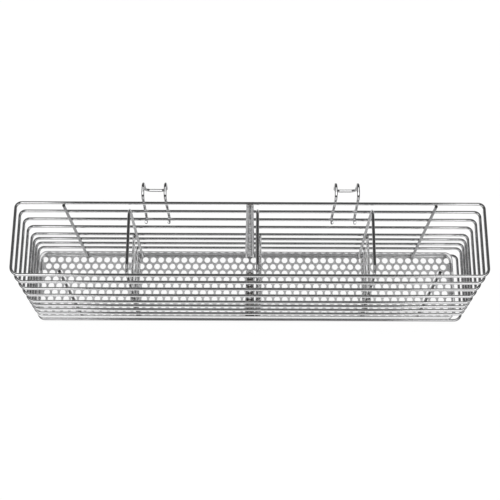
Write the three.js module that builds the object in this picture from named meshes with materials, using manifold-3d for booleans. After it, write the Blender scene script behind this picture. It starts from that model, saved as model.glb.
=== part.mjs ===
// Long wire rack that stands utensils upright over a perforated tray and hangs from two swinging hooks.
// Millimetres, +Z up, front wall at -Y, hooks at +Y. The origin lies under the middle of the whole object.
import * as THREE from 'three';
import { mergeVertices } from 'three/addons/utils/BufferGeometryUtils.js';
import Module from 'manifold-3d';

const wasm = await Module();
wasm.setup();

// Basket, measured over the ring wires
const LENGTH = 382.5;
const WIDTH = 64.2;
const WIRE = 2.5;
const FRONT_BEND = 6.5;
const BACK_BEND = 4.5;
const RING_JOINT_GAP = 0.4;

// Rings: the bottom one carries the tray, three lie close above it, and the upper ones lie further apart
const TRAY_RISE = 19.2;
const CLOSE_PITCH = 11.4;
const CLOSE_STEPS = 3;
const OPEN_PITCH = 17.7;
const OPEN_STEPS = 4;

// Welded wires lie this far apart where they cross
const WELD_GAP = 0.15;

// Upright ribs inside the rings; the side ribs stand at a share of the half length
const SIDE_RIB_SHARE = 0.795;
const FRONT_RIB_LEAN = 0.8;
const BACK_RIB_LEAN = 2.6;
const CENTRE_RIB_X = 1.75;
const CENTRE_RIB_SPREAD = 1.35;

// Drain tray: a perforated sheet in an upright band, set a little to the left
const TRAY_END_GAP = 2.4;
const TRAY_SHIFT = -3.5;
const TRAY_CORNER = 7;
const SHEET = 0.8;
const BAND_HEIGHT = 7.4;
const HOLE_COLUMNS = 53;
const HOLE_ROWS = 9;
const HOLE_SHARE = 0.75;
const HOLE_MARGIN_X = 0.6;
const HOLE_MARGIN_Y = 2.25;
const HOLE_SIDES = 5;

// Dividers: an arched frame with three cross wires; the outer two stand at a share of the half length
const DIVIDER_SHARE = 0.521;
const DIVIDER_SHIFT = 0.8;
const MIDDLE_DIVIDER_X = 6.2;
const DIVIDER_DROP = 2.5;
const DIVIDER_BEND = 8;
const UPPER_CROSS_DROP = 70;
const LOWER_CROSS_DROP = 98;

// Hooks: one bent wire each, curled round the ring two steps below the rim
const HOOK_WIRE = 2.5;
const HOOK_SHARE = 0.4115;
const HOOK_SHIFT = 0.5;
const HOOK_HALF_WIDTH = 9;
const HOOK_SPREAD = 0.6;
const HOOK_PLAY = 0.35;
const HOOK_REACH = 13;
const HOOK_RISE = 7;
const HOOK_BEND = 5;
const HOOK_NOSE_DROP = 11;
const HOOK_NOSE_BEND = 5;
const HOOK_TIP = 0.8;
const HOOK_RING_STEPS = 2;

const SECTION_SIDES = 8;
const BEND_STEPS = 3;
const RING_BEND_STEPS = 2;

const halfLength = (LENGTH - WIRE) / 2;
const halfWidth = (WIDTH - WIRE) / 2;
const innerY = halfWidth - WIRE - WELD_GAP;

const levels = [WIRE / 2, WIRE / 2 + TRAY_RISE];
for (let i = 0; i < CLOSE_STEPS; i += 1) levels.push(levels.at(-1) + CLOSE_PITCH);
for (let i = 0; i < OPEN_STEPS; i += 1) levels.push(levels.at(-1) + OPEN_PITCH);
levels.reverse();
const rimZ = levels[0];

const trayBottom = WIRE + WELD_GAP;
const floorTop = trayBottom + SHEET;
const footZ = floorTop + WELD_GAP;

const hookOffset = WIRE / 2 + HOOK_PLAY + HOOK_WIRE / 2;
const hookBack = halfWidth + hookOffset + HOOK_REACH + HOOK_WIRE / 2;
const envelopeMiddleY = (hookBack - WIDTH / 2) / 2;

const rack = new THREE.Group();
rack.name = 'hanging_utensil_drying_rack';
const basket = new THREE.Group();
basket.name = 'basket';
basket.position.y = -envelopeMiddleY;
rack.add(basket);

// A wire's centre line as straight runs; each section stands square to the bend it lies in
class BentWire extends THREE.Curve {
  constructor(points) {
    super();
    this.points = points;
    this.last = points.length - 1;
  }

  getPoint(t, target = new THREE.Vector3()) {
    const place = Math.min(t, 1) * this.last;
    const i = Math.min(Math.floor(place), this.last - 1);
    return target.lerpVectors(this.points[i], this.points[i + 1], place - i);
  }

  getPointAt(u, target) {
    return this.getPoint(u, target);
  }

  getTangentAt(u, target = new THREE.Vector3()) {
    const i = Math.round(u * this.last);
    target.set(0, 0, 0);
    if (i > 0) target.add(this.points[i].clone().sub(this.points[i - 1]).normalize());
    if (i < this.last) target.add(this.points[i + 1].clone().sub(this.points[i]).normalize());
    return target.normalize();
  }
}

function point(x, y, z) {
  return new THREE.Vector3(x, y, z);
}

// Rounds each inner corner of a run of points, to its own radius
function rounded(corners, radii, steps) {
  const path = [corners[0]];
  for (let i = 1; i < corners.length - 1; i += 1) {
    const corner = corners[i];
    const back = corners[i - 1].clone().sub(corner).normalize();
    const ahead = corners[i + 1].clone().sub(corner).normalize();
    const half = back.angleTo(ahead) / 2;
    const radius = radii[i - 1];
    const inward = back.clone().add(ahead).normalize();
    const centre = corner.clone().addScaledVector(inward, radius / Math.sin(half));
    const start = corner.clone().addScaledVector(back, radius / Math.tan(half)).sub(centre);
    const end = corner.clone().addScaledVector(ahead, radius / Math.tan(half)).sub(centre);
    const turn = start.angleTo(end);
    for (let k = 0; k <= steps; k += 1) {
      const share = k / steps;
      const spoke = start.clone().multiplyScalar(Math.sin((1 - share) * turn) / Math.sin(turn));
      spoke.addScaledVector(end, Math.sin(share * turn) / Math.sin(turn));
      path.push(centre.clone().add(spoke));
    }
  }
  path.push(corners.at(-1));
  return path.filter((p, i) => i === 0 || p.distanceTo(path[i - 1]) > 1e-4);
}

// Eight-sided wire section, its flats at the wire's diameter
function section(diameter) {
  const radius = diameter / 2 / Math.cos(Math.PI / SECTION_SIDES);
  const corners = [];
  for (let i = 0; i < SECTION_SIDES; i += 1) {
    const angle = (Math.PI / SECTION_SIDES) * (2 * i + 1);
    corners.push(new THREE.Vector2(radius * Math.cos(angle), radius * Math.sin(angle)));
  }
  return new THREE.Shape(corners);
}

function addMesh(name, geometry) {
  const mesh = new THREE.Mesh(geometry);
  mesh.name = name;
  basket.add(mesh);
  return mesh;
}

function addWire(name, points, diameter) {
  const extrudePath = new BentWire(points);
  addMesh(name, new THREE.ExtrudeGeometry(section(diameter), { steps: points.length - 1, extrudePath }));
}

// Rings, each a bent wire whose ends meet at the back, behind a centre rib
const jointX = CENTRE_RIB_X + CENTRE_RIB_SPREAD / 2;
levels.forEach((z, i) => {
  const corners = [
    point(jointX + RING_JOINT_GAP / 2, halfWidth, z),
    point(halfLength, halfWidth, z),
    point(halfLength, -halfWidth, z),
    point(-halfLength, -halfWidth, z),
    point(-halfLength, halfWidth, z),
    point(jointX - RING_JOINT_GAP / 2, halfWidth, z),
  ];
  const radii = [BACK_BEND, FRONT_BEND, FRONT_BEND, BACK_BEND];
  addWire(`ring_${i + 1}`, rounded(corners, radii, RING_BEND_STEPS), WIRE);
});

// Ribs, from the tray's floor to the top of the rim
for (const [wall, y] of [['front', -innerY], ['back', innerY]]) {
  for (const [side, sign] of [['left', -1], ['right', 1]]) {
    const top = rimZ + WIRE / 2;
    const sideTop = SIDE_RIB_SHARE * halfLength;
    const sideFoot = sideTop - (wall === 'front' ? FRONT_RIB_LEAN : BACK_RIB_LEAN);
    const centreFoot = CENTRE_RIB_X + CENTRE_RIB_SPREAD;
    addWire(`rib_${wall}_${side}`, [point(sign * sideFoot, y, footZ), point(sign * sideTop, y, top)], WIRE);
    addWire(
      `rib_${wall}_centre_${side}`,
      [point(sign * centreFoot, y, footZ), point(sign * CENTRE_RIB_X, y, top)],
      WIRE,
    );
  }
}

// Dividers
const dividerX = DIVIDER_SHARE * halfLength;
const dividers = [
  ['left', DIVIDER_SHIFT - dividerX, -1],
  ['middle', MIDDLE_DIVIDER_X, 1],
  ['right', DIVIDER_SHIFT + dividerX, 1],
];
for (const [name, x, side] of dividers) {
  const top = rimZ - DIVIDER_DROP;
  const frame = [
    point(x, innerY, footZ),
    point(x, innerY, top),
    point(x, -innerY, top),
    point(x, -innerY, footZ),
  ];
  addWire(`divider_${name}_frame`, rounded(frame, [DIVIDER_BEND, DIVIDER_BEND], BEND_STEPS), WIRE);
  const crossX = x + side * (WIRE + WELD_GAP);
  const reach = innerY + WIRE / 2;
  const heights = [rimZ - UPPER_CROSS_DROP, rimZ - LOWER_CROSS_DROP, footZ + WIRE / 2];
  heights.forEach((z, i) => {
    addWire(`divider_${name}_cross_${i + 1}`, [point(crossX, reach, z), point(crossX, -reach, z)], WIRE);
  });
}

// Tray outline, drawn inwards from the outside of the band
function trayOutline(inset, Kind) {
  const x = halfLength - TRAY_END_GAP - inset;
  const y = halfWidth - inset;
  const radius = TRAY_CORNER - inset;
  const outline = new Kind();
  outline.moveTo(x, -y + radius);
  outline.lineTo(x, y - radius);
  outline.absarc(x - radius, y - radius, radius, 0, Math.PI / 2);
  outline.lineTo(-x + radius, y);
  outline.absarc(-x + radius, y - radius, radius, Math.PI / 2, Math.PI);
  outline.lineTo(-x, -y + radius);
  outline.absarc(-x + radius, -y + radius, radius, Math.PI, Math.PI * 1.5);
  outline.lineTo(x - radius, -y);
  outline.absarc(x - radius, -y + radius, radius, Math.PI * 1.5, Math.PI * 2);
  return outline;
}

const bandShape = trayOutline(0, THREE.Shape);
bandShape.holes.push(trayOutline(SHEET, THREE.Path));
const bandForm = new THREE.ExtrudeGeometry(bandShape, {
  depth: SHEET + BAND_HEIGHT,
  bevelEnabled: false,
  curveSegments: BEND_STEPS,
});
bandForm.translate(TRAY_SHIFT, 0, trayBottom);
addMesh('tray_band', bandForm);

// Perforated floor: staggered holes punched out of a flat sheet that fills the band
function solidOf(geometry) {
  const bare = geometry.clone();
  bare.deleteAttribute('normal');
  bare.deleteAttribute('uv');
  const merged = mergeVertices(bare, 1e-4);
  return new wasm.Manifold(
    new wasm.Mesh({
      numProp: 3,
      vertProperties: new Float32Array(merged.attributes.position.array),
      triVerts: new Uint32Array(merged.index.array),
    }),
  );
}

function geometryOf(solid) {
  const mesh = solid.getMesh();
  const geometry = new THREE.BufferGeometry();
  geometry.setAttribute('position', new THREE.BufferAttribute(new Float32Array(mesh.vertProperties), 3));
  geometry.setIndex(new THREE.BufferAttribute(new Uint32Array(mesh.triVerts), 1));
  geometry.computeVertexNormals();
  return geometry;
}

const floorInset = SHEET + WELD_GAP;
const sheetForm = new THREE.ExtrudeGeometry(trayOutline(floorInset, THREE.Shape), {
  depth: SHEET,
  bevelEnabled: false,
  curveSegments: BEND_STEPS,
});
sheetForm.translate(TRAY_SHIFT, 0, trayBottom);

const holePitch = (2 * (halfLength - TRAY_END_GAP - floorInset - HOLE_MARGIN_X)) / (HOLE_COLUMNS - 1 + HOLE_SHARE);
const holeRadius = (holePitch * HOLE_SHARE) / 2;
const rowPitch = (2 * (halfWidth - floorInset - HOLE_MARGIN_Y - holeRadius)) / (HOLE_ROWS - 1);
const punches = [];
for (let row = 0; row < HOLE_ROWS; row += 1) {
  const count = HOLE_COLUMNS - (row % 2);
  for (let column = 0; column < count; column += 1) {
    const punch = new THREE.CylinderGeometry(holeRadius, holeRadius, 3 * SHEET, HOLE_SIDES);
    punch.rotateX(Math.PI / 2);
    punch.translate(
      TRAY_SHIFT + (column - (count - 1) / 2) * holePitch,
      (row - (HOLE_ROWS - 1) / 2) * rowPitch,
      trayBottom + SHEET / 2,
    );
    punches.push(solidOf(punch));
  }
}
addMesh('tray_floor', geometryOf(solidOf(sheetForm).subtract(wasm.Manifold.compose(punches))));

// Hooks: the two tips curl under the ring from outside, the legs rise past the rim and close in a nose behind it
const ringZ = levels[HOOK_RING_STEPS];
for (const [name, sign] of [['left', -1], ['right', 1]]) {
  const inner = halfWidth - hookOffset;
  const leg = halfWidth + hookOffset;
  const behind = leg + HOOK_REACH;
  const top = rimZ + HOOK_RISE;
  const nose = rimZ - HOOK_NOSE_DROP;
  const middle = sign * HOOK_SHARE * halfLength + HOOK_SHIFT;
  const a = middle - HOOK_HALF_WIDTH;
  const b = middle + HOOK_HALF_WIDTH;
  const footA = a - HOOK_SPREAD;
  const footB = b + HOOK_SPREAD;
  const corners = [
    point(footA, inner, ringZ + HOOK_TIP),
    point(footA, inner, ringZ - hookOffset),
    point(footA, leg, ringZ - hookOffset),
    point(a, leg, top),
    point(a, behind, top),
    point(a, behind, nose),
    point(b, behind, nose),
    point(b, behind, top),
    point(b, leg, top),
    point(footB, leg, ringZ - hookOffset),
    point(footB, inner, ringZ - hookOffset),
    point(footB, inner, ringZ + HOOK_TIP),
  ];
  const curl = [hookOffset, hookOffset];
  const arch = [HOOK_BEND, HOOK_BEND];
  const radii = [...curl, ...arch, HOOK_NOSE_BEND, HOOK_NOSE_BEND, ...arch, ...curl];
  addWire(`hook_${name}`, rounded(corners, radii, BEND_STEPS), HOOK_WIRE);
}

export default rack;
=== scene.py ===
import math

import bmesh
import bpy
from mathutils import Matrix, Vector


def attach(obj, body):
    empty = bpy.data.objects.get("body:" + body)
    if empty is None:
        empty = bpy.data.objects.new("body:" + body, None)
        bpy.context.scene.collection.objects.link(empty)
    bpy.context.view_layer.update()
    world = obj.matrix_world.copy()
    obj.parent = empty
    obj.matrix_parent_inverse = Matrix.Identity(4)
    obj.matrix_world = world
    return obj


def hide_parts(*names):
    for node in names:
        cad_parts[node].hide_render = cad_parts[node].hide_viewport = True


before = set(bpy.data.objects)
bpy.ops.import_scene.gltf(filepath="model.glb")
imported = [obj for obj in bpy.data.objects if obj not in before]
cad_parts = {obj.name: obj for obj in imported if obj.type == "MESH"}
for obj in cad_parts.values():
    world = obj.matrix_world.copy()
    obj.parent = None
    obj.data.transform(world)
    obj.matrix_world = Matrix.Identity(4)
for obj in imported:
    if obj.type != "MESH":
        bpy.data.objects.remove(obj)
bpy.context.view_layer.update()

MM = 0.001

# Basket, measured over the ring wires
LENGTH = 382.5
WIDTH = 64.2
WIRE = 2.5
FRONT_BEND = 6.5
BACK_BEND = 4.5

# Rings: the bottom one carries the tray, four lie close together above it, and the top four further apart
TRAY_RISE = 19.2
CLOSE_PITCH = 11.4
CLOSE_STEPS = 3
OPEN_PITCH = 17.7
OPEN_STEPS = 4
WELD_GAP = 0.15

# Upright ribs inside the rings; the side ribs stand at a share of the half length
SIDE_RIB_SHARE = 0.795
FRONT_RIB_LEAN = 0.8
BACK_RIB_LEAN = 2.6
CENTRE_RIB_X = 1.75
CENTRE_RIB_SPREAD = 1.35

# Drain tray, set a little to the left
TRAY_END_GAP = 2.4
TRAY_SHIFT = -3.5
TRAY_CORNER = 7
SHEET = 0.8
BAND_HEIGHT = 7.4
BAND_LIP = 0.38
BAND_FILLET = 1.1
HOLE_COLUMNS = 53
HOLE_ROWS = 9
HOLE_SHARE = 0.75
HOLE_MARGIN_X = 0.6
HOLE_MARGIN_Y = 2.25
PUNCH_EDGE = 0.12

# Dividers; the outer two stand at a share of the half length
DIVIDER_SHARE = 0.521
DIVIDER_SHIFT = 0.8
MIDDLE_DIVIDER_X = 6.2
DIVIDER_DROP = 2.5
DIVIDER_BEND = 8
UPPER_CROSS_DROP = 70
LOWER_CROSS_DROP = 98

# Hooks, on the ring that lies two steps below the rim
HOOK_WIRE = 2.5
HOOK_SHARE = 0.4115
HOOK_SHIFT = 0.5
HOOK_HALF_WIDTH = 9
HOOK_SPREAD = 0.6
HOOK_PLAY = 0.35
HOOK_REACH = 13
HOOK_RISE = 7
HOOK_BEND = 5
HOOK_NOSE_DROP = 11
HOOK_NOSE_BEND = 5
HOOK_TIP = 0.8
HOOK_RING_STEPS = 2

# Cut ends of a wire, and the butt weld that closes a ring
END_CHAMFER = 0.28
JOINT_HALF_LENGTH = 0.9
JOINT_SWELL = 0.07

# Spot welds; the wobble and its lobes make each edge uneven, and the phases make each one different
NUGGET_RADIUS = 0.95
NUGGET_DEPTH = 0.62
BRIDGE_RADIUS = 1.9
BRIDGE_DEPTH = 1.3
FOOT_RADIUS = 1.45
FOOT_DEPTH = 0.5
TRAY_WELD_RADIUS = 0.9
TRAY_WELD_DEPTH = 0.32
TRAY_WELDS_ALONG = 7
NUGGET_WOBBLE = 0.09
COARSE_LOBES = 3
FINE_LOBES = 2
PHASE_X = 913
PHASE_Y = 577
PHASE_Z = 391

# Weld seams between the two centre ribs of each wall
SEAM_STEP = 2.1
SEAM_OVERLAP = 0.25
SEAM_DEPTH = 0.8

# Fineness of the meshes; a crease is the angle in degrees from which an edge is left crisp
WIRE_SIDES = 24
HOLE_SIDES = 28
BEND_STEPS = 12
CORNER_STEPS = 10
FILLET_STEPS = 8
LIP_STEPS = 6
JOINT_STEPS = 8
SAME_PLACE = 0.01
WIRE_CREASE = 40
BAND_CREASE = 35
FLOOR_CREASE = 50
WELD_CREASE = 60

# Colours: greys run from 0 to 1, steel has a little more blue than red or green, and spot welds a straw tint
STEEL_BLUE = 0.005
WELD_DARK = (0.36, 0.345, 0.32)
WELD_LIGHT = (0.56, 0.55, 0.535)
FELT_DARK = 0.14
FELT_LIGHT = 0.2
PAPER_GREY = 0.86

# Grain: how often it repeats in a metre, along and around a wire, and along, across and up a sheet
WIRE_LINES = (90, 5200, 1)
SHEET_STREAKS = (60, 2600, 700)

# Table: the glow is the white that is seen, and the shadow share is the part that the rack can shade
TABLE_SIDE = 0.6
TABLE_FRONT = -0.9
TABLE_BACK = 0.4
SHADOW_SHARE = 0.12
PAPER_GLOW = 0.93

# Room: white up to a little above the horizon, then dim; heights are sines of the angle above the horizon
ROOM_WHITE_TO = 0.09
ROOM_DIM_FROM = 0.2
ROOM_DIM_GREY = 0.1
ROOM_AMBIENT = 0.3

# Cards on edge round the rack
FLAG_X = 0.42
FLAG_HALF_LENGTH = 0.4
FLAG_HEIGHT = 0.3
BACK_FLAG_Y = 0.42
BACK_FLAG_HALF_LENGTH = 0.5
BACK_FLAG_HEIGHT = 0.25
BOUNCE_Y = -0.88
BOUNCE_HALF_LENGTH = 0.6
BOUNCE_HEIGHT = 0.34

# Lamps: the place of each, its size along X and Y, and its power in watts
SIDE_LAMP_PLACE = Vector((0.52, -0.43, 1.0))
SIDE_LAMP_SIZE = (0.43, 1.0)
SIDE_LAMP_POWER = 2.5
TOP_LAMP_PLACE = Vector((0, 0.5, 1.6))
TOP_LAMP_TARGET = Vector((0, 0, 0.05))
TOP_LAMP_SIZE = (1.6, 1.0)
TOP_LAMP_POWER = 9
TRAY_LAMP_PLACE = Vector((0, 0.22, 1.2))
TRAY_LAMP_SIZE = (1.4, 1.2)
TRAY_LAMP_POWER = 3.3
HOOK_LAMP_PLACE = Vector((0, -0.2, 1.2))
HOOK_LAMP_SIZE = (1.0, 1.6)
HOOK_LAMP_POWER = 11
CROSS_LAMP_PLACE = Vector((1.45, 0.27, 0.8))
CROSS_LAMP_SIZE = (1.3, 1.0)
CROSS_LAMP_POWER = 12

# Camera at the photograph's viewing angle; angles in degrees, lens and sensor in millimetres
CAMERA_PLACE = Vector((-0.0002, -0.318525, 0.95415))
CAMERA_TILT = 70.025
CAMERA_TURN = 0.06
CAMERA_ROLL = 0.25
CAMERA_LENS = 79.37
CAMERA_SENSOR = 36

# Places that follow from the sizes
half_length = (LENGTH - WIRE) / 2
half_width = (WIDTH - WIRE) / 2
inner_y = half_width - WIRE - WELD_GAP
weld_y = (half_width + inner_y) / 2
tray_bottom = WIRE + WELD_GAP
floor_top = tray_bottom + SHEET
foot_z = floor_top + WELD_GAP
band_top = floor_top + BAND_HEIGHT

hook_offset = WIRE / 2 + HOOK_PLAY + HOOK_WIRE / 2
hook_back = half_width + hook_offset + HOOK_REACH + HOOK_WIRE / 2
middle_y = (hook_back - WIDTH / 2) / 2

levels = [WIRE / 2, WIRE / 2 + TRAY_RISE]
for step in range(CLOSE_STEPS):
    levels.append(levels[-1] + CLOSE_PITCH)
for step in range(OPEN_STEPS):
    levels.append(levels[-1] + OPEN_PITCH)
levels.reverse()
rim_z = levels[0]
rib_top = rim_z + WIRE / 2

walls = {"front": -1, "back": 1}
sides = {"left": -1, "right": 1}
ALONG_X = Vector((1, 0, 0))
ALONG_Y = Vector((0, 1, 0))
ALONG_Z = Vector((0, 0, 1))


def spot(x, y, z):
    """A place in the rack's own millimetres, turned into metres about the origin of the whole object."""
    return Vector((x * MM, (y - middle_y) * MM, z * MM))


def rounded(corners, radii):
    """Points along a run of corners, each inner corner bent to its own radius."""
    path = [corners[0]]
    for i in range(1, len(corners) - 1):
        corner = corners[i]
        back = (corners[i - 1] - corner).normalized()
        ahead = (corners[i + 1] - corner).normalized()
        half = back.angle(ahead) / 2
        radius = radii[i - 1] * MM
        centre = corner + (back + ahead).normalized() * (radius / math.sin(half))
        start = corner + back * (radius / math.tan(half)) - centre
        end = corner + ahead * (radius / math.tan(half)) - centre
        turn = start.angle(end)
        for k in range(BEND_STEPS + 1):
            share = k / BEND_STEPS
            spoke = start * (math.sin((1 - share) * turn) / math.sin(turn))
            spoke += end * (math.sin(share * turn) / math.sin(turn))
            path.append(centre + spoke)
    path.append(corners[-1])
    kept = [path[0]]
    for place in path[1:]:
        if (place - kept[-1]).length > SAME_PLACE * MM:
            kept.append(place)
    return kept


def new_mesh(name, form):
    """Mesh from a finished form, which is freed."""
    mesh = bpy.data.meshes.new(name)
    form.to_mesh(mesh)
    form.free()
    return mesh


def new_object(name, data):
    """Object of that name and data, in the scene."""
    made = bpy.data.objects.new(name, data)
    bpy.context.scene.collection.objects.link(made)
    return made


def new_piece(name, mesh, material, body, nodes):
    """Adds a mesh to the scene as a piece that rides on a body and stands for CAD nodes."""
    piece = new_object(name, mesh)
    mesh.materials.append(material)
    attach(piece, body)
    if nodes:
        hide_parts(*nodes)


def smooth(mesh, degrees):
    """Smooth shading, with edges sharper than the angle left crisp."""
    for face in mesh.polygons:
        face.use_smooth = True
    mesh.set_sharp_from_angle(angle=math.radians(degrees))


def path_tangents(path, closed):
    """Direction of a path at each of its points, the mean of the stretches on either side."""
    count = len(path)
    tangents = []
    for i in range(count):
        before = path[i - 1] if i > 0 or closed else path[i]
        after = path[(i + 1) % count] if i < count - 1 or closed else path[i]
        tangent = Vector()
        if before != path[i]:
            tangent += (path[i] - before).normalized()
        if after != path[i]:
            tangent += (after - path[i]).normalized()
        tangents.append(tangent.normalized())
    return tangents


def wire_mesh(name, path, radii, closed):
    """Round wire along a path, with its run along and around kept in a UV layer."""
    form = bmesh.new()
    layer = form.loops.layers.uv.new("run")
    count = len(path)
    tangents = path_tangents(path, closed)
    side = tangents[0].orthogonal().normalized()
    sections = []
    runs = [0.0]
    for i in range(count):
        if i > 0:
            side = (tangents[i - 1].rotation_difference(tangents[i]) @ side).normalized()
            runs.append(runs[-1] + (path[i] - path[i - 1]).length)
        other = tangents[i].cross(side)
        section = []
        for k in range(WIRE_SIDES):
            angle = 2 * math.pi * k / WIRE_SIDES
            spoke = side * math.cos(angle) + other * math.sin(angle)
            section.append(form.verts.new(path[i] + spoke * radii[i]))
        sections.append(section)
    girth = 2 * math.pi * max(radii)
    spans = count if closed else count - 1
    for i in range(spans):
        here = sections[i]
        there = sections[(i + 1) % count]
        run_here = runs[i]
        run_there = runs[i + 1] if i + 1 < count else runs[i] + (path[0] - path[i]).length
        for k in range(WIRE_SIDES):
            nxt = (k + 1) % WIRE_SIDES
            face = form.faces.new((here[k], here[nxt], there[nxt], there[k]))
            near = girth * k / WIRE_SIDES
            far = girth * (k + 1) / WIRE_SIDES
            places = ((run_here, near), (run_here, far), (run_there, far), (run_there, near))
            for loop, place in zip(face.loops, places):
                loop[layer].uv = place
    if not closed:
        for cap in (sections[0], sections[-1]):
            face = form.faces.new(cap)
            for loop in face.loops:
                loop[layer].uv = (loop.vert.co - path[0]).xy
    bmesh.ops.recalc_face_normals(form, faces=form.faces)
    mesh = new_mesh(name, form)
    smooth(mesh, WIRE_CREASE)
    return mesh


def open_wire(name, path, diameter):
    """Wire with two cut ends, each dressed to a small chamfer."""
    radius = diameter / 2 * MM
    cut = END_CHAMFER * MM
    first = path[0] + (path[1] - path[0]).normalized() * cut
    last = path[-1] + (path[-2] - path[-1]).normalized() * cut
    line = [path[0], first, *path[1:-1], last, path[-1]]
    radii = [radius - cut, *[radius] * (len(line) - 2), radius - cut]
    return wire_mesh(name, line, radii, False)


def ring_mesh(name, z, swell):
    """Ring bent from one wire, its ends butt welded behind a centre rib, with a slight swelling there."""
    joint = CENTRE_RIB_X + CENTRE_RIB_SPREAD / 2
    corners = [
        spot(joint + 2 * JOINT_HALF_LENGTH, half_width, z),
        spot(half_length, half_width, z),
        spot(half_length, -half_width, z),
        spot(-half_length, -half_width, z),
        spot(-half_length, half_width, z),
        spot(joint - 2 * JOINT_HALF_LENGTH, half_width, z),
    ]
    path = rounded(corners, [BACK_BEND, FRONT_BEND, FRONT_BEND, BACK_BEND])
    radii = [WIRE / 2 * MM] * len(path)
    for k in range(JOINT_STEPS + 1):
        share = 2 * k / JOINT_STEPS - 1
        path.append(spot(joint + share * JOINT_HALF_LENGTH, half_width, z))
        bulge = swell * (1 - share * share) ** 2
        radii.append((WIRE / 2 + bulge) * MM)
    return wire_mesh(name, path, radii, True)


def fresh_nodes(owner):
    """Clears a material or world, and returns a function that adds nodes to it."""
    owner.use_nodes = True
    tree = owner.node_tree
    tree.nodes.clear()

    def make(kind, *values, operation=None, **named):
        """Adds one node, with values for its inputs in their order or by their names."""
        node = tree.nodes.new(kind)
        if operation:
            node.operation = operation
        pairs = list(zip(node.inputs, values))
        pairs += [(node.inputs[key.replace("_", " ")], value) for key, value in named.items()]
        for socket, value in pairs:
            if isinstance(value, bpy.types.NodeSocket):
                tree.links.new(value, socket)
            else:
                socket.default_value = value
        return node

    return make


def noise(make, place, scale, detail, roughness):
    """Cloudy value at a place."""
    node = make("ShaderNodeTexNoise", Vector=place, Scale=scale, Detail=detail, Roughness=roughness)
    return node.outputs["Fac"]


def ramp(make, factor, start, low, end, high):
    """Colour that runs from low to high as the factor goes from start to end."""
    node = make("ShaderNodeValToRGB", factor)
    first, last = node.color_ramp.elements
    first.position = start
    first.color = (*low, 1)
    last.position = end
    last.color = (*high, 1)
    return node.outputs["Color"]


def spread(make, value, start, end, low, high):
    """Number that runs from low to high as the value goes from start to end."""
    node = make("ShaderNodeMapRange", value, From_Min=start, From_Max=end, To_Min=low, To_Max=high)
    return node.outputs["Result"]


def add_part_of(make, value, share, base):
    """The base with a share of the value added."""
    return make("ShaderNodeMath", value, share, base, operation="MULTIPLY_ADD").outputs["Value"]


def metal(make, colour, rough, normal):
    """Ends a material's nodes with bare metal."""
    surface = {"Base_Color": colour, "Roughness": rough, "Normal": normal}
    shader = make("ShaderNodeBsdfPrincipled", Metallic=1.0, **surface)
    make("ShaderNodeOutputMaterial", shader.outputs["BSDF"])


def grey(level):
    """Neutral grey."""
    return (level, level, level)


def steel(level):
    """Grey of steel."""
    return (level, level, level + STEEL_BLUE)


def drawn_steel(name, dark, light, smoothest, roughest):
    """Drawn stainless wire: fine lines along the wire, soft handling marks and a slow change of tone."""
    material = bpy.data.materials.new(name)
    make = fresh_nodes(material)
    place = make("ShaderNodeTexCoord").outputs
    lines = make("ShaderNodeMapping", Vector=place["UV"], Scale=WIRE_LINES)
    drawing = noise(make, lines.outputs["Vector"], scale=1, detail=3, roughness=0.6)
    marks = noise(make, place["Object"], scale=160, detail=4, roughness=0.62)
    cloud = noise(make, place["Object"], scale=28, detail=2, roughness=0.5)
    colour = ramp(make, cloud, start=0.32, low=steel(dark), end=0.68, high=steel(light))
    wear = add_part_of(make, marks, share=0.65, base=drawing)
    rough = spread(make, wear, start=0.55, end=1.1, low=smoothest, high=roughest)
    bump = make("ShaderNodeBump", Height=drawing, Strength=0.12, Distance=0.00004)
    metal(make, colour, rough, bump.outputs["Normal"])
    return material


def rolled_sheet(name, dark, light, smoothest, roughest):
    """Rolled stainless sheet: short streaks along the sheet, a fine even grain and faint water marks."""
    material = bpy.data.materials.new(name)
    make = fresh_nodes(material)
    place = make("ShaderNodeTexCoord").outputs["Object"]
    lay = make("ShaderNodeMapping", Vector=place, Scale=SHEET_STREAKS)
    streak = noise(make, lay.outputs["Vector"], scale=1, detail=4, roughness=0.65)
    grain = noise(make, place, scale=2600, detail=2, roughness=0.5)
    water = noise(make, place, scale=34, detail=4, roughness=0.6)
    colour = ramp(make, water, start=0.3, low=steel(dark), end=0.7, high=steel(light))
    wear = add_part_of(make, water, share=0.5, base=streak)
    rough = spread(make, wear, start=0.5, end=1.0, low=smoothest, high=roughest)
    coarse = make("ShaderNodeBump", Height=streak, Strength=0.18, Distance=0.00005)
    under = coarse.outputs["Normal"]
    fine = make("ShaderNodeBump", Height=grain, Strength=0.12, Distance=0.00003, Normal=under)
    metal(make, colour, rough, fine.outputs["Normal"])
    return material


def weld_steel(name, dark, light, smoothest, roughest):
    """Cooled weld metal: a mottled skin with fine pits."""
    material = bpy.data.materials.new(name)
    make = fresh_nodes(material)
    place = make("ShaderNodeTexCoord").outputs["Object"]
    tint = noise(make, place, scale=420, detail=3, roughness=0.6)
    pits = noise(make, place, scale=3200, detail=3, roughness=0.6)
    colour = ramp(make, tint, start=0.35, low=dark, end=0.65, high=light)
    rough = spread(make, pits, start=0, end=1, low=smoothest, high=roughest)
    bump = make("ShaderNodeBump", Height=pits, Strength=0.35, Distance=0.00006)
    metal(make, colour, rough, bump.outputs["Normal"])
    return material


def dark_felt(name):
    """Dark matt felt with a fine nap."""
    material = bpy.data.materials.new(name)
    make = fresh_nodes(material)
    place = make("ShaderNodeTexCoord").outputs["Object"]
    nap = noise(make, place, scale=240, detail=3, roughness=0.6)
    shade = ramp(make, nap, start=0.3, low=grey(FELT_DARK), end=0.7, high=grey(FELT_LIGHT))
    cloth = make("ShaderNodeBsdfDiffuse", Color=shade)
    make("ShaderNodeOutputMaterial", cloth.outputs["BSDF"])
    return material


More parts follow.
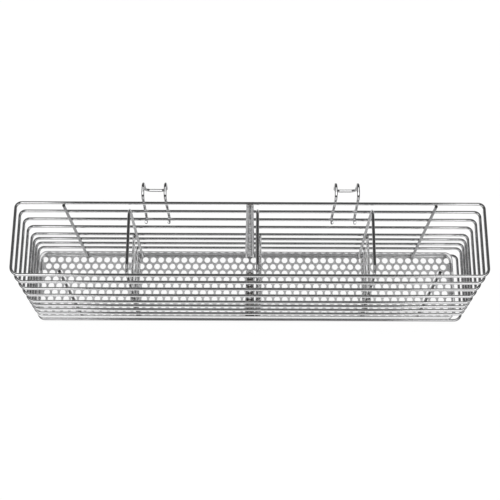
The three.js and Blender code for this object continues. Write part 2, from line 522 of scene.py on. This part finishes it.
def seen(make):
    """One for rays from the camera, straight or by way of metal or glass, and nought for other light."""
    ray = make("ShaderNodeLightPath").outputs
    shown = make("ShaderNodeMath", ray["Is Camera Ray"], ray["Is Glossy Ray"], operation="MAXIMUM")
    through = ray["Is Transmission Ray"]
    return make("ShaderNodeMath", shown.outputs["Value"], through, operation="MAXIMUM").outputs["Value"]


def white_paper(name):
    """Paper that is white where it is seen, keeps a soft shadow, and is plain matt to other light."""
    material = bpy.data.materials.new(name)
    make = fresh_nodes(material)
    matt = make("ShaderNodeBsdfDiffuse", Color=(*grey(PAPER_GREY), 1))
    shadowed = make("ShaderNodeBsdfDiffuse", Color=(*grey(SHADOW_SHARE), 1))
    glow = make("ShaderNodeEmission", Color=(*grey(1), 1), Strength=PAPER_GLOW)
    bright = make("ShaderNodeAddShader", shadowed.outputs["BSDF"], glow.outputs["Emission"])
    choice = make("ShaderNodeMixShader", seen(make), matt.outputs["BSDF"], bright.outputs["Shader"])
    make("ShaderNodeOutputMaterial", choice.outputs["Shader"])
    return material


# Steels: bright wire for the rings and cross wires; darker copies of that wire, painted shade, for the
# uprights, side ribs, hooks and bottom ring; satin sheet for the tray's floor and polished sheet for its
# band
wire_steel = drawn_steel("wire_steel", dark=0.66, light=0.74, smoothest=0.05, roughest=0.12)
# Darker wire for the centre ribs, divider frames and bottom ring: painted shade in place of the shadowed
# table under the rack
painted_shade_steel = drawn_steel("painted_shade_steel", dark=0.45, light=0.52, smoothest=0.08, roughest=0.18)
# Darkest wire for the side ribs: painted shade in place of the shadowed table they reflect
rib_steel_painted_shade = drawn_steel("rib_steel_painted_shade", dark=0.31, light=0.37, smoothest=0.08, roughest=0.18)
# Darker wire for the hooks: painted shade that makes them read darker than the rings
hook_steel = drawn_steel("hook_steel", dark=0.5, light=0.58, smoothest=0.04, roughest=0.09)
tray_steel = rolled_sheet("tray_steel", dark=0.63, light=0.71, smoothest=0.28, roughest=0.42)
band_steel = rolled_sheet("band_steel", dark=0.76, light=0.84, smoothest=0.08, roughest=0.16)
weld_skin = weld_steel("weld_skin", WELD_DARK, WELD_LIGHT, smoothest=0.26, roughest=0.5)
# Centre seams in a random mottle from near black to near white: painted shade and painted highlights over
# the weld metal
seam_steel_painted_sheen = weld_steel("seam_steel_painted_sheen", steel(0.2), steel(0.84), smoothest=0.04, roughest=0.16)

# Rings; the bottom one is given the darker steel, painted shade standing in for the table's shadow round its
# foot, and its joint is ground flush
for index, z in enumerate(levels):
    node = f"ring_{index + 1}"
    bottom = index == len(levels) - 1
    mesh = ring_mesh(f"{node}_wire", z, 0 if bottom else JOINT_SWELL)
    steel_and_painted_shade = painted_shade_steel if bottom else wire_steel
    new_piece(f"{node}_wire", mesh, steel_and_painted_shade, "basket", [node])

nuggets = []
feet = []
bridges = []


def add_straight(node, start, end, steel_and_painted_shade):
    """Straight wire of the basket between two places."""
    mesh = open_wire(f"{node}_wire", [start, end], WIRE)
    new_piece(f"{node}_wire", mesh, steel_and_painted_shade, "basket", [node])


def weld_upright(foot_x, top_x, top_z, wall):
    """Notes the welds of one upright wire: one at each ring that it passes and one at its foot."""
    for z in levels:
        if foot_z < z < top_z + WIRE:
            share = (z - foot_z) / (rib_top - foot_z)
            x = foot_x + (top_x - foot_x) * share
            nuggets.append((spot(x, wall * weld_y, z), ALONG_Y))
    feet.append(spot(foot_x, wall * inner_y, foot_z - WELD_GAP / 2))


# Ribs: one near each end of a wall and a pair at its centre
for wall_name, wall in walls.items():
    for side_name, side in sides.items():
        y = wall * inner_y
        lean = FRONT_RIB_LEAN if wall_name == "front" else BACK_RIB_LEAN
        side_top = side * SIDE_RIB_SHARE * half_length
        side_foot = side_top - side * lean
        add_straight(
            f"rib_{wall_name}_{side_name}",
            spot(side_foot, y, foot_z),
            spot(side_top, y, rib_top),
            rib_steel_painted_shade,
        )
        weld_upright(side_foot, side_top, rib_top, wall)
        centre_foot = side * (CENTRE_RIB_X + CENTRE_RIB_SPREAD)
        centre_top = side * CENTRE_RIB_X
        add_straight(
            f"rib_{wall_name}_centre_{side_name}",
            spot(centre_foot, y, foot_z),
            spot(centre_top, y, rib_top),
            painted_shade_steel,
        )
        weld_upright(centre_foot, centre_top, rib_top, wall)
    for z in levels[:-1]:
        bridges.append(spot(0, wall * weld_y, z))

# Dividers: an arched frame with three cross wires, on the left or right side of the frame
divider_x = DIVIDER_SHARE * half_length
divider_places = {
    "left": (DIVIDER_SHIFT - divider_x, -1),
    "middle": (MIDDLE_DIVIDER_X, 1),
    "right": (DIVIDER_SHIFT + divider_x, 1),
}
divider_top = rim_z - DIVIDER_DROP
cross_heights = (rim_z - UPPER_CROSS_DROP, rim_z - LOWER_CROSS_DROP, foot_z + WIRE / 2)
cross_reach = inner_y + WIRE / 2
cross_names = []
for name, (x, side) in divider_places.items():
    node = f"divider_{name}_frame"
    corners = [
        spot(x, inner_y, foot_z),
        spot(x, inner_y, divider_top),
        spot(x, -inner_y, divider_top),
        spot(x, -inner_y, foot_z),
    ]
    mesh = open_wire(f"{node}_wire", rounded(corners, [DIVIDER_BEND, DIVIDER_BEND]), WIRE)
    new_piece(f"{node}_wire", mesh, painted_shade_steel, "basket", [node])
    for wall in walls.values():
        weld_upright(x, x, divider_top - DIVIDER_BEND, wall)
    cross_x = x + side * (WIRE + WELD_GAP)
    for index, z in enumerate(cross_heights):
        node = f"divider_{name}_cross_{index + 1}"
        add_straight(node, spot(cross_x, cross_reach, z), spot(cross_x, -cross_reach, z), wire_steel)
        cross_names.append(f"{node}_wire")
        for wall in walls.values():
            nuggets.append((spot((x + cross_x) / 2, wall * inner_y, z), ALONG_X))


def tray_outline(inset):
    """Points round the tray's outline, drawn inwards from the outside of its band."""
    x = half_length - TRAY_END_GAP - inset
    y = half_width - inset
    radius = TRAY_CORNER - inset
    line = []
    for quarter in range(4):
        across = 1 if quarter in (0, 3) else -1
        along = 1 if quarter in (0, 1) else -1
        for k in range(CORNER_STEPS + 1):
            angle = (quarter + k / CORNER_STEPS) * math.pi / 2
            place_x = TRAY_SHIFT + across * (x - radius) + radius * math.cos(angle)
            place_y = along * (y - radius) + radius * math.sin(angle)
            line.append((place_x, place_y))
    return line


def arc(centre_inset, centre_z, radius, start, end, steps):
    """Part of a round in the band's section, as distances in from the outside and heights."""
    turn = []
    for k in range(steps + 1):
        angle = math.radians(start + (end - start) * k / steps)
        turn.append((centre_inset - radius * math.cos(angle), centre_z + radius * math.sin(angle)))
    return turn


def band_mesh(name):
    """Upright band of the tray: rounded lip, pressed bend at the foot and a small round inside."""
    section = []
    section += arc(BAND_FILLET, tray_bottom + BAND_FILLET, BAND_FILLET, -90, 0, FILLET_STEPS)
    section += arc(BAND_LIP, band_top - BAND_LIP, BAND_LIP, 0, 90, LIP_STEPS)
    section += arc(SHEET - BAND_LIP, band_top - BAND_LIP, BAND_LIP, 90, 180, LIP_STEPS)
    section += arc(SHEET + BAND_FILLET, floor_top + BAND_FILLET, BAND_FILLET, 0, -90, FILLET_STEPS)
    section.append((SHEET + BAND_FILLET, tray_bottom + SHEET / 2))
    form = bmesh.new()
    loops = []
    for inset, z in section:
        loops.append([form.verts.new(spot(x, y, z)) for x, y in tray_outline(inset)])
    around = len(loops[0])
    for i in range(len(loops)):
        here = loops[i]
        there = loops[(i + 1) % len(loops)]
        for k in range(around):
            nxt = (k + 1) % around
            form.faces.new((here[k], here[nxt], there[nxt], there[k]))
    bmesh.ops.recalc_face_normals(form, faces=form.faces)
    mesh = new_mesh(name, form)
    smooth(mesh, BAND_CREASE)
    return mesh


def hole_outlines(inset):
    """Staggered rows of round holes that fill the tray's floor."""
    pitch = 2 * (half_length - TRAY_END_GAP - inset - HOLE_MARGIN_X) / (HOLE_COLUMNS - 1 + HOLE_SHARE)
    radius = pitch * HOLE_SHARE / 2
    row_pitch = 2 * (half_width - inset - HOLE_MARGIN_Y - radius) / (HOLE_ROWS - 1)
    holes = []
    for row in range(HOLE_ROWS):
        count = HOLE_COLUMNS - row % 2
        for column in range(count):
            x = TRAY_SHIFT + (column - (count - 1) / 2) * pitch
            y = (row - (HOLE_ROWS - 1) / 2) * row_pitch
            hole = []
            for k in range(HOLE_SIDES):
                angle = 2 * math.pi * k / HOLE_SIDES
                hole.append((x + radius * math.cos(angle), y + radius * math.sin(angle)))
            holes.append(hole)
    return holes


def floor_mesh(name):
    """Perforated sheet with softly rolled edges at its holes."""
    inset = SHEET + WELD_GAP
    outline = bpy.data.curves.new(name, "CURVE")
    outline.dimensions = "2D"
    outline.fill_mode = "BOTH"
    outline.extrude = (SHEET / 2 - PUNCH_EDGE) * MM
    outline.bevel_depth = PUNCH_EDGE * MM
    outline.bevel_resolution = 1
    outline.offset = -PUNCH_EDGE * MM
    for loop in [tray_outline(inset), *hole_outlines(inset)]:
        spline = outline.splines.new("POLY")
        spline.points.add(len(loop) - 1)
        for point, (x, y) in zip(spline.points, loop):
            flat = spot(x, y, 0)
            point.co = (flat.x, flat.y, 0, 1)
        spline.use_cyclic_u = True
    holder = new_object(name, outline)
    graph = bpy.context.evaluated_depsgraph_get()
    mesh = bpy.data.meshes.new_from_object(holder.evaluated_get(graph))
    mesh.name = name
    bpy.data.objects.remove(holder)
    mesh.transform(Matrix.Translation((0, 0, (tray_bottom + SHEET / 2) * MM)))
    mesh.materials.clear()
    smooth(mesh, FLOOR_CREASE)
    return mesh


# Tray
band = band_mesh("tray_band_pressed")
new_piece("tray_band_pressed", band, band_steel, "basket", ["tray_band"])
perforated = floor_mesh("tray_floor_punched")
new_piece("tray_floor_punched", perforated, tray_steel, "basket", ["tray_floor"])

# Hooks: one wire each, curled round the third ring at both feet, over an arch and down to the nose
ring_z = levels[HOOK_RING_STEPS]
curl_z = ring_z - hook_offset
tip_z = ring_z + HOOK_TIP
arch_z = rim_z + HOOK_RISE
nose_z = rim_z - HOOK_NOSE_DROP
inner_leg = half_width - hook_offset
outer_leg = half_width + hook_offset
behind = outer_leg + HOOK_REACH
hook_names = []
for name, side in sides.items():
    middle = side * HOOK_SHARE * half_length + HOOK_SHIFT
    left = middle - HOOK_HALF_WIDTH
    right = middle + HOOK_HALF_WIDTH
    left_foot = left - HOOK_SPREAD
    right_foot = right + HOOK_SPREAD
    corners = [
        spot(left_foot, inner_leg, tip_z),
        spot(left_foot, inner_leg, curl_z),
        spot(left_foot, outer_leg, curl_z),
        spot(left, outer_leg, arch_z),
        spot(left, behind, arch_z),
        spot(left, behind, nose_z),
        spot(right, behind, nose_z),
        spot(right, behind, arch_z),
        spot(right, outer_leg, arch_z),
        spot(right_foot, outer_leg, curl_z),
        spot(right_foot, inner_leg, curl_z),
        spot(right_foot, inner_leg, tip_z),
    ]
    curl = [hook_offset, hook_offset]
    arch = [HOOK_BEND, HOOK_BEND]
    nose = [HOOK_NOSE_BEND, HOOK_NOSE_BEND]
    mesh = open_wire(f"hook_{name}_wire", rounded(corners, [*curl, *arch, *nose, *arch, *curl]), HOOK_WIRE)
    new_piece(f"hook_{name}_wire", mesh, hook_steel, f"{name}_hook", [f"hook_{name}"])
    hook_names.append(f"hook_{name}_wire")


def add_nugget(form, place, axis, radius, depth):
    """One cooled weld, wider across than it is deep, with an uneven edge."""
    made = bmesh.ops.create_icosphere(form, subdivisions=2, radius=1.0)
    turn = ALONG_Z.rotation_difference(axis)
    phase = (place.x * PHASE_X + place.y * PHASE_Y + place.z * PHASE_Z) / MM
    for vert in made["verts"]:
        around = math.atan2(vert.co.y, vert.co.x)
        lobes = math.sin(COARSE_LOBES * around + phase) * math.cos(FINE_LOBES * around - phase)
        wide = radius * (1 + NUGGET_WOBBLE * lobes)
        local = Vector((vert.co.x * wide, vert.co.y * wide, vert.co.z * depth))
        vert.co = place + (turn @ local) * MM


def add_welds(name, form, material):
    """Makes one piece of the basket from a form that holds welds."""
    mesh = new_mesh(name, form)
    smooth(mesh, WELD_CREASE)
    new_piece(name, mesh, material, "basket", [])


# Welds where wires cross, between the ribs of a pair, at the feet of the uprights and under the tray
weld_form = bmesh.new()
for place, axis in nuggets:
    add_nugget(weld_form, place, axis, NUGGET_RADIUS, NUGGET_DEPTH)
for place in bridges:
    add_nugget(weld_form, place, ALONG_Y, BRIDGE_RADIUS, BRIDGE_DEPTH)
for place in feet:
    add_nugget(weld_form, place, ALONG_Z, FOOT_RADIUS, FOOT_DEPTH)
for wall in walls.values():
    for step in range(TRAY_WELDS_ALONG):
        x = (step - (TRAY_WELDS_ALONG - 1) / 2) * (LENGTH / TRAY_WELDS_ALONG)
        place = spot(x, wall * (half_width - WIRE / 2), tray_bottom)
        add_nugget(weld_form, place, ALONG_Z, TRAY_WELD_RADIUS, TRAY_WELD_DEPTH)
add_welds("spot_welds", weld_form, weld_skin)

# Seams that fill the gap between the ribs of each pair, narrower towards the top
seam_form = bmesh.new()
seam_radius = CENTRE_RIB_X + CENTRE_RIB_SPREAD - WIRE / 2 + SEAM_OVERLAP
seam_foot = foot_z + seam_radius
seam_steps = int((rib_top - WIRE / 2 - seam_foot) / SEAM_STEP)
for wall in walls.values():
    for step in range(seam_steps + 1):
        z = seam_foot + step * SEAM_STEP
        narrowing = CENTRE_RIB_SPREAD * (z - foot_z) / (rib_top - foot_z)
        place = spot(0, wall * inner_y, z)
        add_nugget(seam_form, place, ALONG_Y, seam_radius - narrowing, SEAM_DEPTH)
add_welds("centre_rib_seams", seam_form, seam_steel_painted_sheen)


def stage_sheet(name, corners, material):
    """One flat sheet of the studio."""
    form = bmesh.new()
    form.faces.new([form.verts.new(corner) for corner in corners])
    sheet = new_object(name, new_mesh(name, form))
    sheet.data.materials.append(material)
    return sheet


def card(name, start, end, height, material):
    """Card on edge beside the rack, seen only in the bright wires."""
    stand = stage_sheet(name, ((*start, 0), (*end, 0), (*end, height), (*start, height)), material)
    stand.visible_camera = False
    stand.visible_diffuse = False
    stand.visible_shadow = False


# Floor
paper = white_paper("white_paper")
table_corners = (
    (-TABLE_SIDE, TABLE_FRONT, 0),
    (TABLE_SIDE, TABLE_FRONT, 0),
    (TABLE_SIDE, TABLE_BACK, 0),
    (-TABLE_SIDE, TABLE_BACK, 0),
)
stage_sheet("floor", table_corners, paper)

# Room: seen in the wires as it is toned, and an even low light to matt surfaces
world = bpy.data.worlds.new("studio")
bpy.context.scene.world = world
make = fresh_nodes(world)
direction = make("ShaderNodeTexCoord").outputs["Generated"]
rise = make("ShaderNodeSeparateXYZ", direction).outputs["Z"]
tone = ramp(make, rise, start=ROOM_WHITE_TO, low=grey(1), end=ROOM_DIM_FROM, high=grey(ROOM_DIM_GREY))
room = make("ShaderNodeBackground", Color=tone, Strength=1.0)
ambient = make("ShaderNodeBackground", Color=(*grey(1), 1), Strength=ROOM_AMBIENT)
choice = make("ShaderNodeMixShader", seen(make), ambient.outputs["Background"], room.outputs["Background"])
make("ShaderNodeOutputWorld", choice.outputs["Shader"])

# Cards: dark felt at the sides and behind draws dark edges on the wires, white paper in front a bright one
felt = dark_felt("dark_felt")
for name, side in sides.items():
    flag_x = side * FLAG_X
    card(f"flag_{name}", (flag_x, -FLAG_HALF_LENGTH), (flag_x, FLAG_HALF_LENGTH), FLAG_HEIGHT, felt)
back_start = (-BACK_FLAG_HALF_LENGTH, BACK_FLAG_Y)
back_end = (BACK_FLAG_HALF_LENGTH, BACK_FLAG_Y)
card("flag_back", back_start, back_end, BACK_FLAG_HEIGHT, felt)
bounce_start = (BOUNCE_HALF_LENGTH, BOUNCE_Y)
bounce_end = (-BOUNCE_HALF_LENGTH, BOUNCE_Y)
card("bounce_front", bounce_start, bounce_end, BOUNCE_HEIGHT, paper)


def softbox(name, place, size, power, aim):
    """Large soft lamp that shines in the direction of its aim."""
    data = bpy.data.lights.new(name, "AREA")
    data.shape = "RECTANGLE"
    data.size, data.size_y = size
    data.energy = power
    lamp = new_object(name, data)
    lamp.location = place
    lamp.rotation_mode = "QUATERNION"
    lamp.rotation_quaternion = aim.to_track_quat("-Z", "Y")
    lamp.visible_camera = False
    return lamp


def mirrored(place, side):
    """The same place on the left or right side."""
    return Vector((side * place.x, place.y, place.z))


def light_only(lamp, names):
    """Lets a lamp reach the named pieces and no others."""
    group = bpy.data.collections.new(f"{lamp.name}_reach")
    for name in names:
        group.objects.link(bpy.data.objects[name])
    lamp.light_linking.receiver_collection = group


# Lamps: two at the sides and one above for the whole rack, then some that reach only certain pieces
down = -ALONG_Z
for name, side in sides.items():
    softbox(f"lamp_{name}", mirrored(SIDE_LAMP_PLACE, side), SIDE_LAMP_SIZE, SIDE_LAMP_POWER, down)
top_aim = TOP_LAMP_TARGET - TOP_LAMP_PLACE
top_lamp = softbox("lamp_top", TOP_LAMP_PLACE, TOP_LAMP_SIZE, TOP_LAMP_POWER, top_aim)
top_lamp.visible_glossy = False
tray_lamp = softbox("lamp_tray", TRAY_LAMP_PLACE, TRAY_LAMP_SIZE, TRAY_LAMP_POWER, down)
rib_names = [f"rib_{wall}_centre_{side}_wire" for wall in walls for side in sides]
light_only(tray_lamp, ["tray_floor_punched", "centre_rib_seams", *rib_names])
hook_lamp = softbox("lamp_hooks", HOOK_LAMP_PLACE, HOOK_LAMP_SIZE, HOOK_LAMP_POWER, down)
light_only(hook_lamp, hook_names)
for name, side in sides.items():
    cross_place = mirrored(CROSS_LAMP_PLACE, side)
    cross_lamp = softbox(f"lamp_crosses_{name}", cross_place, CROSS_LAMP_SIZE, CROSS_LAMP_POWER, down)
    light_only(cross_lamp, cross_names)

# Camera
camera_data = bpy.data.cameras.new("camera")
camera_data.sensor_width = CAMERA_SENSOR
camera_data.lens = CAMERA_LENS
camera = new_object("camera", camera_data)
turn = Matrix.Rotation(-math.radians(CAMERA_TURN), 4, "Z")
lean = Matrix.Rotation(math.pi / 2 - math.radians(CAMERA_TILT), 4, "X")
roll = Matrix.Rotation(math.radians(CAMERA_ROLL), 4, "Z")
camera.matrix_world = Matrix.Translation(CAMERA_PLACE) @ turn @ lean @ roll
bpy.context.scene.camera = camera
bpy.context.scene.view_settings.view_transform = "Standard"
